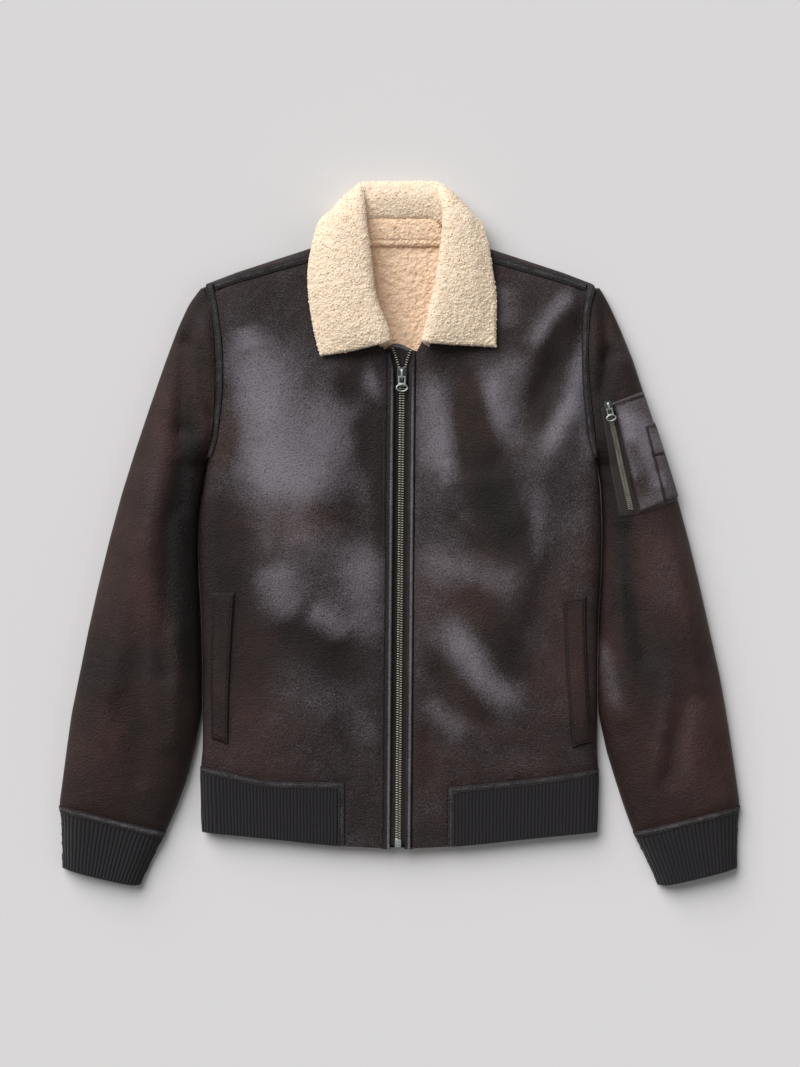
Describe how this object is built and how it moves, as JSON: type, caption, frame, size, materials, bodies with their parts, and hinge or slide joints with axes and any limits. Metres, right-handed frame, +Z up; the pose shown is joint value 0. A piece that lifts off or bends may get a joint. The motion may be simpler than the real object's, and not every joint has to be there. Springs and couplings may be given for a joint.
{
  "type": "blouson jacket",
  "caption": "Zipped blouson jacket of faux shearling laid flat: pile collar folded over, rib knit hem and cuffs, welt pockets, zipped sleeve pocket.",
  "frame": {"origin": "centre of the jacket's outline, on the surface it lies on", "axes": "+X across the jacket towards the wearer's left sleeve, +Y from the hem towards the collar, +Z up off the surface, out of the fronts"},
  "size_m": [0.7884, 0.8115, 0.0467],
  "materials": {
    "shell_leather": "burnished dark brown faux leather, satin",
    "pile": "cream faux shearling pile",
    "rib_knit": "charcoal rib knit",
    "zip_metal": "antique silver",
    "zip_tape": "woven tape"
  },
  "bodies": {
    "jacket": {"arm_pocket": "shell_leather", "arm_zip_facing": "zip_tape", "arm_zip_row": "zip_metal", "arm_zip_slider": "zip_metal", "armhole_strip_left": "shell_leather", "armhole_strip_right": "shell_leather", "back_panel": "shell_leather", "chin_guard": "shell_leather", "collar": "pile", "cuff_left": "rib_knit", "cuff_right": "rib_knit", "cuff_strip_left": "shell_leather", "cuff_strip_right": "shell_leather", "front_left": "shell_leather", "front_right": "shell_leather", "hem_strip_left": "shell_leather", "hem_strip_right": "shell_leather", "neck_band": "pile", "pen_pocket": "shell_leather", "shoulder_strip_left": "shell_leather", "shoulder_strip_right": "shell_leather", "sleeve_top_left": "shell_leather", "sleeve_top_right": "shell_leather", "sleeve_under_left": "shell_leather", "sleeve_under_right": "shell_leather", "waist_rib_back": "rib_knit", "waist_rib_left": "rib_knit", "waist_rib_right": "rib_knit", "welt_left": "shell_leather", "welt_right": "shell_leather", "zip_box": "zip_metal", "zip_edge_left": "shell_leather", "zip_edge_right": "shell_leather", "zip_row_left": "zip_metal", "zip_row_right": "zip_metal", "zip_slider": "zip_metal", "zip_tape_left": "zip_tape", "zip_tape_right": "zip_tape"},
    "front_pull": {"zip_pull": "zip_metal"},
    "sleeve_pull": {"arm_zip_pull": "zip_metal"}
  },
  "joints": [
    {"name": "front_pull_swing", "type": "hinge", "parent": "jacket", "child": "front_pull", "pos_m": [0.00281, 0.1795, 0.0228], "axis": [-1, 0, 0], "range_deg": [0, 150]},
    {"name": "sleeve_pull_swing", "type": "hinge", "parent": "jacket", "child": "sleeve_pull", "pos_m": [0.24017, 0.14195, 0.0365], "axis": [-0.9768, -0.2144, 0], "range_deg": [0, 150]}
  ]
}
